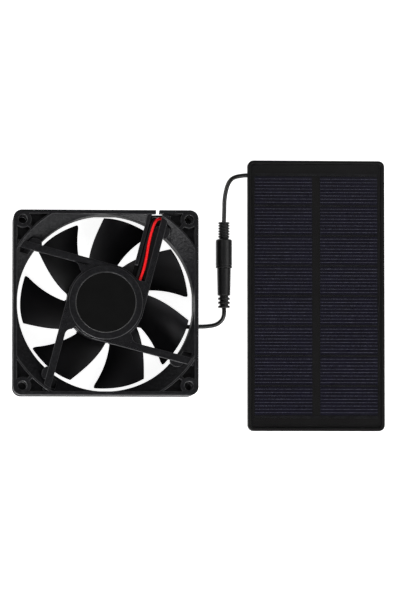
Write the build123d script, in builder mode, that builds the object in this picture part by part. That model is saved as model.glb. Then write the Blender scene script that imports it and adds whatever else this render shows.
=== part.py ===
from build123d import *
import math
import os

# Solar attic fan: a 92 mm axial fan and a small solar panel, joined by a lead with a
# round DC plug and socket. Everything lies flat on a surface at z = 0. Millimetres.
# Origin: the fan's axis at its inlet face. +Z points to the exhaust side, +X to the panel.

# ---- fan frame ----
FRAME_SIZE = 92.0
FRAME_DEPTH = 25.0
CORNER_R = 4.3
RIM = 1.9
FLANGE = 6.0
HOLE_PITCH = 82.5
HOLE_R = 2.25
HOLE_SKIN = (2.6, 3.4)
BOSS_R = 4.2
BORE_R = 44.0
DUCT_R = 45.3
FLARE_R = 51.5
FLARE_WALL = 0.8
REAR_FLARE_R = 48.5
POCKET_FLOOR = 2.5
BOSS_WEB = 1.5

# ---- struts, wire channel and motor base ----
STRUT_TURN = 75.2
STRUT_TURNS = [STRUT_TURN + quarter for quarter in (0, 90, 180, 270)]
STRUT_IN = 15.6
STRUT_OUT = 19.2
STRUT_LOW = 21.0
STRUT_HIGH = 24.5
ROOT_CUT = 4.5
ROOT_MOON = (41.3, 3.3, 2.6)
ROOT_SLOT = (42.4, 48.0, 13.3)
CHANNEL_LEFT = 8.9
CHANNEL_WALL = 1.7
CHANNEL_RIGHT = 16.1
CHANNEL_FLOOR = 1.2
CHANNEL_START = 22.0
STRUT_SPAN = (-3.0, 50.0)
GUSSET = 2.6
GUSSET_RISE = 4.6
GUSSET_X = (8.0, 14.9, 17.0, 20.2)
GUSSET_ROUND = 3.4
BASE_R = 19.2
BASE_STEP_R = 18.2
SKIRT_WALL = 1.5
BASE_PLATE = 1.2
LABEL_R = 15.1
LABEL_DEEP = 0.35
TUBE_COLLAR = 1.2

# ---- where the wires leave: lengths along the channel strut, then distances across it ----
GATE = (7.0, 17.5, 10.6, 15.2)
CHANNEL_END = 15.0
HOLE_START = 42.4
HOLE_NECK = 44.0
HOLE_NECK_SIDE = 14.8
ARCH_START = 43.5
ARCH_SIDES = (14.1, 20.2)
ARCH_LOW = 22.2
DROP_NECK = (41.0, 44.8, 15.6, 19.6)
DROP_SLOT = (44.0, 48.9, 16.7, 19.6)
REAR_GROOVE = (37.9, 48.9, 12.0, 22.0)
GROOVE_DEEP = 3.2
# notches in the top edge and the groove in the panel side: middle, width and height
T_CROSS = ((25.1, 42.6), 4.4, 2.4)
T_STEM = ((25.7, 45.0), 1.7, 4.0)
REAR_NOTCH = ((26.4, 46.0), 5.2, 2.2)
SIDE_GROOVE = ((-10.6, 1.6), 3.4, 3.2)
SIDE_GROOVE_LONG = 6.0

# ---- rotor ----
HUB_R = 19.3
HUB_LOW = 3.2
HUB_HIGH = 20.3
HUB_WALL = 1.3
BLADES = 7
BLADE_LOW = 3.9
BLADE_HIGH = 19.6
TIP_R = 42.2
BLADE_THICK = 1.3
BLADE_CAMBER = 2.2
YOKE_R = 17.9
YOKE_WALL = 0.9
MAGNET_IN = 15.1
MAGNET_Z = (6.6, 18.6)

# ---- motor ----
SHAFT_R = 1.5
SHAFT_Z = (5.0, 22.2)
TUBE_R = 4.0
TUBE_BORE = 3.0
TUBE_Z = (8.2, 23.8)
BEARING_Z = (9.6, 20.4)
CORE_Z = (10.0, 16.0)
CORE_R = 14.4
ARM_W = 4.0
ARM_END = 12.3
CORE_HUB_R = 6.4
SHOE_GAP = 3.2
GAP_LONG = 12.0
BOBBIN_WALL = 0.8
BOBBIN_GUARD = 2.2
BOBBIN_OVER = 1.0
COIL_X = (7.4, 11.4)
COIL_THICK = 1.4
COIL_ROUND = 1.3
PIN_SPOT_R = 5.6
PIN_W = 0.6
BOARD_Z = (21.3, 22.3)
BOARD_R = 16.4
BOARD_BORE_R = 5.4
PIN_HOLE = (1.1, 0.9)
CHIP = (4.4, 3.2, 1.4)
CHIP_AT = (-9.6, -9.6)
CAPACITOR = (1.9, 1.6)
CAPACITOR_AT = (10.4, -9.0)
GROOVE_Z = (21.1, 21.6)
GROOVE_R = 1.1
CLIP_R = 2.5

# ---- wires, cords and connector ----
WIRE_R = 0.72
CABLE_R = 1.1
CONN_X = 60.1
CONN_Z = 4.1
MATING_Y = 18.6
PLUG_R = 3.45
PLUG_LONG = 13.7
PLUG_RELIEF = 6.3
SOCKET_R = 4.05
SOCKET_LONG = 14.3
SOCKET_RELIEF = 8.8
BARREL_R = 1.75
BARREL_LONG = 9.5
BARREL_FIT = 0.05
BARREL_WALL = 0.3
BARREL_IN = 4.0
INSULATOR_BORE_R = 0.95
PLUG_RIBS = 3
SOCKET_RIBS = 5
PIN_R = 0.62
PIN_FIT = 0.06

# ---- solar panel ----
PANEL_W = 69.0
PANEL_H = 136.0
PANEL_T = 6.0
PANEL_X = 106.5
PANEL_Y = 4.9
PANEL_CORNER = 3.0
PANEL_RIM = 1.7
PANEL_LEDGE = 1.3
PANEL_FLOOR = 1.5
BACK_BOARD_Z = (4.2, 4.8)
CELL_Z = (4.85, 5.05)
SHEET_Z = (5.35, 5.75)
ROWS = 8
ROW_PITCH = 15.1
CELL_H = 14.4
CELL_W = 29.0
CELL_GAP = 4.0
CABLE_IN_Y = 65.7
CABLE_IN_Z = 2.9

GAP = 0.02

os.makedirs("parts", exist_ok=True)


def save(item, name):
    item.part.label = name
    export_step(item.part, f"parts/{name}.step")


def ring(low, high, outer, inner=0.0):
    """A washer-shaped solid on the fan's axis."""
    with BuildPart() as made:
        with BuildSketch(Plane.XY.offset(low)):
            Circle(outer)
            if inner > 0:
                Circle(inner, mode=Mode.SUBTRACT)
        extrude(amount=high - low)
    return made


def along_strut(out, across, z):
    """A point given along the channel strut, across it and in height."""
    turn = math.radians(STRUT_TURN)
    x = out * math.cos(turn) + across * math.sin(turn)
    y = out * math.sin(turn) - across * math.cos(turn)
    return (x, y, z)


def bend_radii(points):
    """Each bend as large as its two runs allow."""
    radii = []
    for a, b, c in zip(points, points[1:], points[2:]):
        run_in = Vector(b) - Vector(a)
        run_out = Vector(c) - Vector(b)
        half_turn = math.radians(run_in.get_angle(run_out)) / 2
        shorter = min(run_in.length, run_out.length)
        radii.append(0.45 * shorter / math.tan(half_turn))
    return radii


def tube(points, radius, name):
    """A round lead: straight runs joined by tangent arcs."""
    radii = bend_radii(points)
    with BuildPart() as made:
        with BuildLine() as route:
            FilletPolyline(*points, radius=radii)
        with BuildSketch(Plane(origin=route.line @ 0, z_dir=route.line % 0)):
            Circle(radius)
        sweep()
    length = route.wires()[0].length
    print(f"{name}: length {length:.1f}, bend radii", [round(r, 1) for r in radii],
          f"volume ratio {made.part.volume / (math.pi * radius ** 2 * length):.4f}")
    return made


# ================= fan frame =================

HALF = FRAME_SIZE / 2
INSIDE = FRAME_SIZE - 2 * RIM
FRONT = FRAME_DEPTH - FLANGE
CORNERS = GridLocations(HOLE_PITCH, HOLE_PITCH, 2, 2)


def corner_pocket(flare_r):
    """The four hollows between the flare's wall, the rim and the screw boss."""
    RectangleRounded(INSIDE, INSIDE, CORNER_R - RIM)
    Circle(flare_r + FLARE_WALL, mode=Mode.SUBTRACT)
    with CORNERS:
        Circle(BOSS_R, mode=Mode.SUBTRACT)
    for turn in (45, 135):
        with Locations(Location((0, 0, 0), (0, 0, turn))):
            Rectangle(HOLE_PITCH * math.sqrt(2), BOSS_WEB, mode=Mode.SUBTRACT)


def strut_frame(turn, z):
    """A plane at a height, with its x out along a strut and its y to the strut's left."""
    out = math.radians(turn)
    return Plane(origin=(0, 0, z), x_dir=(math.cos(out), math.sin(out), 0), z_dir=(0, 0, 1))


def bar(turn, out_from, out_to, near, far, low, high, mode=Mode.ADD):
    """A straight bar or slot beside the base, never reaching into the rim."""
    with BuildSketch(strut_frame(turn, low)) as outline:
        with Locations(((out_from + out_to) / 2, -(near + far) / 2)):
            Rectangle(out_to - out_from, far - near)
        Rectangle(INSIDE + 0.2, INSIDE + 0.2, rotation=-turn, mode=Mode.INTERSECT)
    extrude(outline.sketch, amount=high - low, mode=mode)


def gusset(turn):
    """The rounded web that fills the corner between a strut's inner side and the base."""
    with BuildSketch(strut_frame(turn, STRUT_LOW)) as outline:
        with BuildLine():
            near = -STRUT_IN
            inner, top, shoulder, outer = GUSSET_X
            Polyline((shoulder, near + GUSSET), (top, near + GUSSET_RISE), (inner, near + GUSSET_RISE),
                     (inner, near - 1), (outer, near - 1), (outer, near))
            RadiusArc((outer, near), (shoulder, near + GUSSET), GUSSET_ROUND)
        make_face()
    extrude(outline.sketch, amount=STRUT_HIGH - STRUT_LOW)


with BuildPart() as fan_frame:
    # two square flanges on a round duct
    for low in (0, FRONT):
        with BuildSketch(Plane.XY.offset(low)):
            RectangleRounded(FRAME_SIZE, FRAME_SIZE, CORNER_R)
        extrude(amount=FLANGE)
    with BuildSketch(Plane.XY.offset(FLANGE)):
        Circle(DUCT_R)
    extrude(amount=FRONT - FLANGE)
    with BuildSketch():
        Circle(BORE_R)
    extrude(amount=FRAME_DEPTH, mode=Mode.SUBTRACT)
    # flares at both mouths, cut off square at the rims
    with BuildSketch(Plane.XZ):
        with BuildLine():
            Polyline((BORE_R - 1, FRONT + 0.5), (BORE_R, FRONT + 0.5), (FLARE_R, FRAME_DEPTH),
                     (FLARE_R, FRAME_DEPTH + 1), (BORE_R - 1, FRAME_DEPTH + 1), close=True)
        make_face()
    revolve(axis=Axis.Z, mode=Mode.SUBTRACT)
    with BuildSketch(Plane.XZ):
        with BuildLine():
            Polyline((BORE_R - 1, FLANGE - 0.5), (BORE_R, FLANGE - 0.5), (REAR_FLARE_R, 0),
                     (REAR_FLARE_R, -1), (BORE_R - 1, -1), close=True)
        make_face()
    revolve(axis=Axis.Z, mode=Mode.SUBTRACT)
    for low in (0, FRONT):
        with BuildSketch(Plane.XY.offset(low)):
            RectangleRounded(FRAME_SIZE, FRAME_SIZE, CORNER_R)
            Rectangle(INSIDE, INSIDE, mode=Mode.SUBTRACT)
        extrude(amount=FLANGE)
    # corner pockets on both faces and the screw holes
    with BuildSketch(Plane.XY.offset(FRONT + POCKET_FLOOR)):
        corner_pocket(FLARE_R)
    extrude(amount=FLANGE - POCKET_FLOOR, mode=Mode.SUBTRACT)
    with BuildSketch():
        corner_pocket(REAR_FLARE_R)
    extrude(amount=FLANGE - POCKET_FLOOR, mode=Mode.SUBTRACT)
    # screw holes; a thin skin stays in each of the inlet flange's holes until a screw breaks it
    for low, high in ((0, HOLE_SKIN[0]), (HOLE_SKIN[1], FRAME_DEPTH)):
        with BuildSketch(Plane.XY.offset(low)):
            with CORNERS:
                Circle(HOLE_R)
        extrude(amount=high - low, mode=Mode.SUBTRACT)
    # each strut's root stands between two cuts in the flare: a half moon outside it, a slot inside
    for turn in STRUT_TURNS:
        with BuildSketch(strut_frame(turn, FRAME_DEPTH - ROOT_CUT)) as moon:
            with Locations((ROOT_MOON[0], -STRUT_OUT)):
                Ellipse(*ROOT_MOON[1:])
        extrude(moon.sketch, amount=ROOT_CUT, mode=Mode.SUBTRACT)
        bar(turn, *ROOT_SLOT, STRUT_IN + 0.2, FRAME_DEPTH - ROOT_CUT, FRAME_DEPTH, Mode.SUBTRACT)
    # three plain struts with gussets, and the channel strut that carries the wires
    for turn in STRUT_TURNS[1:]:
        bar(turn, *STRUT_SPAN, STRUT_IN, STRUT_OUT, STRUT_LOW, STRUT_HIGH)
        gusset(turn)
    channel_in = CHANNEL_LEFT + CHANNEL_WALL
    bar(STRUT_TURN, *STRUT_SPAN, CHANNEL_RIGHT, STRUT_OUT, STRUT_LOW, STRUT_HIGH)
    bar(STRUT_TURN, CHANNEL_START, STRUT_SPAN[1], CHANNEL_LEFT, channel_in, STRUT_LOW, STRUT_HIGH)
    bar(STRUT_TURN, 0, BORE_R + 1, CHANNEL_LEFT, CHANNEL_RIGHT, STRUT_LOW, STRUT_LOW + CHANNEL_FLOOR)
    bar(STRUT_TURN, 0, CHANNEL_END, CHANNEL_LEFT, CHANNEL_RIGHT, STRUT_LOW, STRUT_HIGH)
    # motor base: a shallow cup, open towards the rotor, with a raised middle on its outer face
    for base_r, base_high in ((BASE_R, STRUT_HIGH), (BASE_STEP_R, FRAME_DEPTH)):
        with BuildSketch(Plane.XY.offset(STRUT_LOW)):
            Circle(base_r)
        extrude(amount=base_high - STRUT_LOW)
    with BuildSketch(Plane.XY.offset(STRUT_LOW)):
        Circle(BASE_R - SKIRT_WALL)
        Circle(TUBE_R + TUBE_COLLAR, mode=Mode.SUBTRACT)
    extrude(amount=FRAME_DEPTH - BASE_PLATE - STRUT_LOW, mode=Mode.SUBTRACT)
    with BuildSketch(Plane.XY.offset(FRAME_DEPTH)):
        Circle(LABEL_R)
    extrude(amount=-LABEL_DEEP, mode=Mode.SUBTRACT)
    with BuildSketch(Plane.XY.offset(STRUT_LOW)):
        Circle(TUBE_R + GAP)
    extrude(amount=TUBE_Z[1] + GAP - STRUT_LOW, mode=Mode.SUBTRACT)
    with BuildSketch(Plane.XY.offset(STRUT_LOW)):
        Circle(TUBE_BORE)
    extrude(amount=FRAME_DEPTH - STRUT_LOW, mode=Mode.SUBTRACT)
    # gate in the skirt for the two wires
    gate_low = STRUT_LOW + CHANNEL_FLOOR
    bar(STRUT_TURN, *GATE, gate_low, gate_low + 2 * WIRE_R + 0.2, Mode.SUBTRACT)
    # where the wires leave the channel: a hole through the flange and an arch under the wall
    hole_end = STRUT_SPAN[1]
    bar(STRUT_TURN, HOLE_START, hole_end, channel_in, HOLE_NECK_SIDE, FRONT, FRAME_DEPTH, Mode.SUBTRACT)
    bar(STRUT_TURN, HOLE_NECK, hole_end, channel_in, CHANNEL_RIGHT, FRONT, FRAME_DEPTH, Mode.SUBTRACT)
    bar(STRUT_TURN, ARCH_START, hole_end, *ARCH_SIDES, FRONT, ARCH_LOW, Mode.SUBTRACT)
    # a T-shaped notch in the exhaust flange and a straight one behind it in the inlet flange
    for low, notches in ((FRONT, (T_CROSS, T_STEM)), (0, (REAR_NOTCH,))):
        with BuildSketch(Plane.XY.offset(low)):
            for middle, wide, high in notches:
                with Locations(middle):
                    Rectangle(wide, high)
        extrude(amount=FLANGE, mode=Mode.SUBTRACT)
    # the inlet flange: a slot that the wires drop through, a groove under it, and one beside the panel
    for slot in (DROP_NECK, DROP_SLOT):
        bar(STRUT_TURN, *slot, 0, FLANGE, Mode.SUBTRACT)
    bar(STRUT_TURN, *REAR_GROOVE, 0, GROOVE_DEEP, Mode.SUBTRACT)
    with BuildSketch(Plane.YZ.offset(HALF - SIDE_GROOVE_LONG)):
        groove_middle, groove_w, groove_h = SIDE_GROOVE
        with Locations(groove_middle):
            Rectangle(groove_w, groove_h)
    extrude(amount=SIDE_GROOVE_LONG + 1, mode=Mode.SUBTRACT)
save(fan_frame, "fan_frame")

with BuildPart() as motor_label:
    with BuildSketch(Plane.XY.offset(FRAME_DEPTH - LABEL_DEEP + GAP)):
        Circle(LABEL_R - 0.2)
    extrude(amount=0.25)
save(motor_label, "motor_label")

# ================= motor, fixed pieces =================

save(ring(*TUBE_Z, TUBE_R, TUBE_BORE), "bearing_tube")
save(ring(*BEARING_Z, TUBE_BORE - GAP, SHAFT_R + 0.03), "sleeve_bearing")
save(ring(BEARING_Z[0] - 0.8, BEARING_Z[0] - GAP, TUBE_BORE - GAP, SHAFT_R + 0.08), "oil_seal")
save(ring(BEARING_Z[1] + GAP, BEARING_Z[1] + 0.4, TUBE_BORE - 0.2, SHAFT_R + 0.08), "end_washer")


def pole_outline(arm_w, hub_r, shoe_from, shoe_to, hole_r):
    """Four poles: a hub ring, straight arms and curved shoes."""
    Circle(hub_r)
    with PolarLocations(0, 4):
        with Locations((shoe_from / 2, 0)):
            Rectangle(shoe_from, arm_w)
    Circle(shoe_to)
    Circle(shoe_from, mode=Mode.SUBTRACT)
    with PolarLocations(shoe_to, 4, start_angle=45):
        Rectangle(GAP_LONG, SHOE_GAP, mode=Mode.SUBTRACT)
    Circle(hub_r)
    with PolarLocations(0, 4):
        with Locations((shoe_from / 2 + 0.4, 0)):
            Rectangle(shoe_from + 0.8, arm_w)
    Circle(hole_r, mode=Mode.SUBTRACT)


with BuildPart() as stator_core:
    with BuildSketch(Plane.XY.offset(CORE_Z[0])):
        pole_outline(ARM_W, CORE_HUB_R, ARM_END, CORE_R, TUBE_R + GAP)
    extrude(amount=CORE_Z[1] - CORE_Z[0])
save(stator_core, "stator_core")


def bobbin(face, way):
    """Moulded insulator on one end of the core, with guard walls at the pole shoes."""
    with BuildPart() as made:
        with BuildSketch(Plane.XY.offset(face)):
            pole_outline(ARM_W + BOBBIN_OVER, CORE_HUB_R + 0.4, ARM_END, CORE_R - 0.6, TUBE_R + GAP)
        extrude(amount=way * BOBBIN_WALL)
        with BuildSketch(Plane.XY.offset(face)):
            Circle(ARM_END + 0.8)
            Circle(ARM_END, mode=Mode.SUBTRACT)
            with PolarLocations(ARM_END, 4, start_angle=45):
                Rectangle(GAP_LONG, SHOE_GAP + 1.8, mode=Mode.SUBTRACT)
        extrude(amount=way * BOBBIN_GUARD)
    return made


save(bobbin(CORE_Z[1] + GAP, 1), "upper_bobbin")
save(bobbin(CORE_Z[0] - GAP, -1), "lower_bobbin")

COIL_LOW = CORE_Z[0] - BOBBIN_WALL - 2 * GAP
COIL_HIGH = CORE_Z[1] + BOBBIN_WALL + 2 * GAP
with BuildPart() as stator_coils:
    for turn in range(4):
        out = math.radians(90 * turn)
        start = (COIL_X[0] * math.cos(out), COIL_X[0] * math.sin(out), (COIL_LOW + COIL_HIGH) / 2)
        side = Plane(origin=start, x_dir=(-math.sin(out), math.cos(out), 0),
                     z_dir=(math.cos(out), math.sin(out), 0))
        with BuildSketch(side):
            inner_w = ARM_W + BOBBIN_OVER + 2 * GAP
            inner_h = COIL_HIGH - COIL_LOW
            RectangleRounded(inner_w + 2 * COIL_THICK, inner_h + 2 * COIL_THICK, COIL_ROUND)
            Rectangle(inner_w, inner_h, mode=Mode.SUBTRACT)
        extrude(amount=COIL_X[1] - COIL_X[0])
save(stator_coils, "stator_coils")

with BuildPart() as winding_pins:
    with BuildSketch(Plane.XY.offset(CORE_Z[1] + BOBBIN_WALL + 2 * GAP)):
        with PolarLocations(PIN_SPOT_R, 3, start_angle=45, angular_range=270):
            Rectangle(PIN_W, PIN_W)
    extrude(amount=BOARD_Z[1] + 0.5 - CORE_Z[1] - BOBBIN_WALL)
save(winding_pins, "winding_pins")

with BuildPart() as motor_circuit_board:
    with BuildSketch(Plane.XY.offset(BOARD_Z[0])):
        Circle(BOARD_R)
        Circle(BOARD_BORE_R, mode=Mode.SUBTRACT)
        with PolarLocations(PIN_SPOT_R + 0.1, 3, start_angle=45, angular_range=270):
            Rectangle(*PIN_HOLE, mode=Mode.SUBTRACT)
    extrude(amount=BOARD_Z[1] - BOARD_Z[0] - 0.05)
save(motor_circuit_board, "motor_circuit_board")

with BuildPart() as driver_chip:
    with BuildSketch(Plane.XY.offset(BOARD_Z[0] - GAP)):
        with Locations(CHIP_AT):
            Rectangle(*CHIP[:2], rotation=45)
    extrude(amount=-CHIP[2])
save(driver_chip, "driver_chip")

with BuildPart() as board_capacitor:
    with BuildSketch(Plane.XY.offset(BOARD_Z[0] - GAP)):
        with Locations(CAPACITOR_AT):
            Circle(CAPACITOR[0])
    extrude(amount=-CAPACITOR[1])
save(board_capacitor, "board_capacitor")

# ================= rotor =================

with BuildPart() as rotor_shaft:
    with BuildSketch(Plane.XY.offset(SHAFT_Z[0])):
        Circle(SHAFT_R)
    extrude(amount=SHAFT_Z[1] - SHAFT_Z[0])
    chamfer(rotor_shaft.edges().sort_by(Axis.Z)[-1], 0.25)
    with BuildSketch(Plane.XY.offset(GROOVE_Z[0])):
        Circle(SHAFT_R + 0.1)
        Circle(GROOVE_R, mode=Mode.SUBTRACT)
    extrude(amount=GROOVE_Z[1] - GROOVE_Z[0], mode=Mode.SUBTRACT)
save(rotor_shaft, "rotor_shaft")

with BuildPart() as retaining_clip:
    with BuildSketch(Plane.XY.offset(GROOVE_Z[0] + 0.05)):
        Circle(CLIP_R)
        Circle(GROOVE_R + GAP, mode=Mode.SUBTRACT)
        with Locations((CLIP_R - 0.5, 0)):
            Rectangle(CLIP_R + 0.5, 1.4, mode=Mode.SUBTRACT)
    extrude(amount=GROOVE_Z[1] - GROOVE_Z[0] - 0.1)
save(retaining_clip, "retaining_clip")

with BuildPart() as rotor_yoke:
    with BuildSketch(Plane.XY.offset(HUB_LOW + HUB_WALL + 0.1)):
        Circle(YOKE_R)
    extrude(amount=MAGNET_Z[1] + 0.4 - HUB_LOW - HUB_WALL)
    fillet(rotor_yoke.edges().sort_by(Axis.Z)[0], 0.7)
    with BuildSketch(Plane.XY.offset(HUB_LOW + HUB_WALL + 0.1 + YOKE_WALL)):
        Circle(YOKE_R - YOKE_WALL)
    extrude(amount=20, mode=Mode.SUBTRACT)
    with BuildSketch():
        Circle(SHAFT_R + GAP)
    extrude(amount=10, mode=Mode.SUBTRACT)
save(rotor_yoke, "rotor_yoke")

YOKE_FLOOR = HUB_LOW + HUB_WALL + 0.1 + YOKE_WALL
save(ring(YOKE_FLOOR + GAP, TUBE_Z[0] - 0.6, 3.4, SHAFT_R + GAP), "shaft_bush")
save(ring(*MAGNET_Z, YOKE_R - YOKE_WALL - GAP, MAGNET_IN), "magnet_ring")


def trailing_turn(r):
    """Angle of a blade's upper, trailing edge at a radius."""
    return -0.9 - 1.13 * (r - 30) + 0.018 * (r - 30) ** 2


def leading_turn(r):
    """Angle of the same blade's lower, leading edge."""
    return -37.6 - 0.73 * (r - 30)


def blade_plane(r):
    """The upright plane through both edges at a radius, its x from leading to trailing edge."""
    ends = []
    for turn in (leading_turn(r), trailing_turn(r)):
        ends.append(Vector(r * math.cos(math.radians(turn)), r * math.sin(math.radians(turn)), 0))
    chord = ends[1] - ends[0]
    middle = (ends[0] + ends[1]) * 0.5
    return Plane(origin=middle, x_dir=chord, z_dir=chord.cross(Vector(0, 0, 1))), chord.length


BLADE_MID = (BLADE_LOW + BLADE_HIGH) / 2
BLADE_RISE = BLADE_HIGH - BLADE_LOW
with BuildPart() as blade:
    for r in (17.0, 24.0, 31.0, 38.0, 46.0):
        plane, chord = blade_plane(r)
        length = math.hypot(chord, BLADE_RISE)
        tilt = math.degrees(math.atan2(BLADE_RISE, chord))
        thick = BLADE_THICK * (1 - 0.012 * (r - 17))
        end = 0.28
        with BuildSketch(plane):
            with BuildLine(Location((0, BLADE_MID), (0, 0, tilt))):
                top = Spline((-length / 2, end), (0, thick / 2 - BLADE_CAMBER), (length / 2, end))
                low = Spline((-length / 2, -end), (0, -thick / 2 - BLADE_CAMBER), (length / 2, -end))
                Line(top @ 0, low @ 0)
                Line(top @ 1, low @ 1)
            make_face()
    loft()
    with BuildSketch():
        Circle(TIP_R)
        Circle(HUB_R - HUB_WALL / 2, mode=Mode.SUBTRACT)
    extrude(amount=FRAME_DEPTH, mode=Mode.INTERSECT)

with BuildPart() as impeller:
    with BuildSketch(Plane.XY.offset(HUB_LOW)):
        Circle(HUB_R)
    extrude(amount=HUB_HIGH - HUB_LOW)
    fillet(impeller.edges().sort_by(Axis.Z)[0], 1.0)
    with BuildSketch(Plane.XY.offset(HUB_LOW + HUB_WALL)):
        Circle(HUB_R - HUB_WALL)
    extrude(amount=HUB_HIGH, mode=Mode.SUBTRACT)
    with PolarLocations(0, BLADES):
        add(blade.part)
save(impeller, "impeller")

# ================= wires, splice and fan lead =================

FLOOR_AXIS = CABLE_R + 0.05
SLEEVE_END = along_strut(21, 13.6, 1.35)
SLEEVE_START = along_strut(32, 13.6, 1.35)
WIRE_Z = STRUT_LOW + CHANNEL_FLOOR + WIRE_R + 0.05

red_points = [
    along_strut(9.5, 13.7, WIRE_Z), along_strut(19, 14.5, WIRE_Z), along_strut(27.5, 14.1, WIRE_Z),
    along_strut(34, 13.1, WIRE_Z), along_strut(43.3, 13.4, WIRE_Z), along_strut(47.9, 14.6, 22.2),
    along_strut(49.0, 17.6, 18.8), along_strut(48.4, 18.4, 12.6), along_strut(47.4, 18.3, 7.4),
    along_strut(43.9, 18.5, 2.9), along_strut(38.0, 16.0, 1.35), along_strut(32, 14.4, 1.35)]
black_points = [
    along_strut(9.5, 11.8, WIRE_Z), along_strut(20, 12.3, WIRE_Z), along_strut(32, 11.6, WIRE_Z),
    along_strut(43.4, 11.7, WIRE_Z), along_strut(47.0, 12.1, 21.2), along_strut(47.3, 14.8, 18.0),
    along_strut(46.6, 17.7, 12.6), along_strut(45.6, 17.9, 7.0), along_strut(42.0, 16.5, 2.6),
    along_strut(36.6, 13.5, 1.35), along_strut(32, 12.8, 1.35)]
save(tube(red_points, WIRE_R, "red_wire"), "red_wire")
save(tube(black_points, WIRE_R, "black_wire"), "black_wire")

with BuildPart() as splice_sleeve:
    sleeve_run = Vector(SLEEVE_END) - Vector(SLEEVE_START)
    with BuildSketch(Plane(origin=SLEEVE_START, x_dir=sleeve_run.cross(Vector(0, 0, 1)), z_dir=sleeve_run)):
        SlotOverall(4.0, 2.6)
    extrude(amount=sleeve_run.length)
save(splice_sleeve, "splice_sleeve")

PLUG_TAIL = (CONN_X, MATING_Y - PLUG_LONG - PLUG_RELIEF, CONN_Z)
fan_cable_points = [
    SLEEVE_END, (16.8, 10.4, FLOOR_AXIS), (9.8, 1.4, FLOOR_AXIS), (10.2, -6.0, FLOOR_AXIS),
    (15.0, -10.2, FLOOR_AXIS), (26.0, -10.9, FLOOR_AXIS), (42.5, -10.8, FLOOR_AXIS),
    (54.4, -10.5, FLOOR_AXIS), (58.6, -8.5, 1.9), (60.5, -5.0, 3.3), PLUG_TAIL]
save(tube(fan_cable_points, CABLE_R, "fan_cable"), "fan_cable")

# ================= plug and socket =================


def on_axis(y):
    """A section plane across the connector, facing +Y."""
    return Plane(origin=(CONN_X, y, CONN_Z), x_dir=(1, 0, 0), z_dir=(0, 1, 0))


def sleeve(low, high, outer, inner=0.0):
    """A round piece on the connector's axis."""
    with BuildPart() as made:
        with BuildSketch(on_axis(low)):
            Circle(outer)
            if inner > 0:
                Circle(inner, mode=Mode.SUBTRACT)
        extrude(amount=high - low)
    return made


PLUG_LOW = MATING_Y - PLUG_LONG
with BuildPart() as plug_body:
    with BuildSketch(on_axis(PLUG_LOW)):
        Circle(PLUG_R - 0.15)
    with BuildSketch(on_axis(MATING_Y - 0.1)):
        Circle(PLUG_R)
    loft()
    chamfer(plug_body.edges().filter_by(GeomType.CIRCLE), 0.35)
    with BuildSketch(on_axis(PLUG_TAIL[1])):
        Circle(1.9)
    with BuildSketch(on_axis(PLUG_LOW)):
        Circle(2.9)
    loft()
    for step in range(PLUG_RIBS):
        with BuildSketch(on_axis(PLUG_TAIL[1] + 0.5 + step * 2.0)):
            Circle(3.0)
        extrude(amount=1.0)
    with BuildSketch(on_axis(MATING_Y - BARREL_IN)):
        Circle(BARREL_R + GAP)
    extrude(amount=BARREL_IN, mode=Mode.SUBTRACT)
save(plug_body, "plug_body")

BARREL_START = MATING_Y - BARREL_IN + GAP
BARREL_END = MATING_Y + BARREL_LONG
save(sleeve(BARREL_START, BARREL_END, BARREL_R, BARREL_R - BARREL_WALL), "plug_barrel")
save(sleeve(BARREL_START, BARREL_END, BARREL_R - BARREL_WALL - GAP, INSULATOR_BORE_R), "plug_insulator")
save(sleeve(BARREL_START, BARREL_END - 0.2, INSULATOR_BORE_R - GAP, PIN_R + PIN_FIT), "plug_inner_contact")

SOCKET_HIGH = MATING_Y + SOCKET_LONG
SOCKET_TAIL = (CONN_X, SOCKET_HIGH + SOCKET_RELIEF, CONN_Z)
SOCKET_DEEP = BARREL_LONG + 1.0
with BuildPart() as socket_body:
    with BuildSketch(on_axis(MATING_Y)):
        Circle(SOCKET_R)
    extrude(amount=SOCKET_LONG)
    chamfer(socket_body.edges().filter_by(GeomType.CIRCLE), 0.4)
    with BuildSketch(on_axis(SOCKET_HIGH)):
        Circle(2.9)
    with BuildSketch(on_axis(SOCKET_TAIL[1])):
        Circle(2.1)
    loft()
    for step in range(SOCKET_RIBS):
        with BuildSketch(on_axis(SOCKET_HIGH + 0.9 + step * 1.5)):
            Circle(2.95 - 0.06 * step)
        extrude(amount=0.8)
    with BuildSketch(on_axis(MATING_Y)):
        Circle(BARREL_R + 0.35)
    extrude(amount=SOCKET_DEEP, mode=Mode.SUBTRACT)
save(socket_body, "socket_body")

save(sleeve(MATING_Y + 1.0, MATING_Y + SOCKET_DEEP - 0.2, BARREL_R + 0.33, BARREL_R + BARREL_FIT),
     "socket_sleeve_contact")
with BuildPart() as socket_pin:
    with BuildSketch(on_axis(MATING_Y + 1.2)):
        Circle(PIN_R)
    extrude(amount=SOCKET_DEEP - 1.2 - GAP)
    fillet(socket_pin.edges().sort_by(Axis.Y)[0], 0.4)
save(socket_pin, "socket_pin")

# ================= panel lead =================

PANEL_LEFT = PANEL_X - PANEL_W / 2
ANCHOR_X = PANEL_LEFT + PANEL_RIM + PANEL_LEDGE + 0.6
panel_cable_points = [
    SOCKET_TAIL, (60.5, 47.0, 3.9), (61.0, 55.0, 3.3), (63.0, 62.4, 3.0),
    (68.6, CABLE_IN_Y, CABLE_IN_Z), (ANCHOR_X, CABLE_IN_Y, CABLE_IN_Z)]
save(tube(panel_cable_points, CABLE_R, "panel_cable"), "panel_cable")

# ================= solar panel =================

FACE = Plane(origin=(PANEL_X, PANEL_Y, 0))
BOARD_W = PANEL_W - 2 * PANEL_RIM - 0.4
BOARD_H = PANEL_H - 2 * PANEL_RIM - 0.4



def across_entry(x):
    """A section plane across the lead where it enters the panel, facing +X."""
    return Plane(origin=(x, CABLE_IN_Y, CABLE_IN_Z), x_dir=(0, 1, 0), z_dir=(1, 0, 0))


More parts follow.
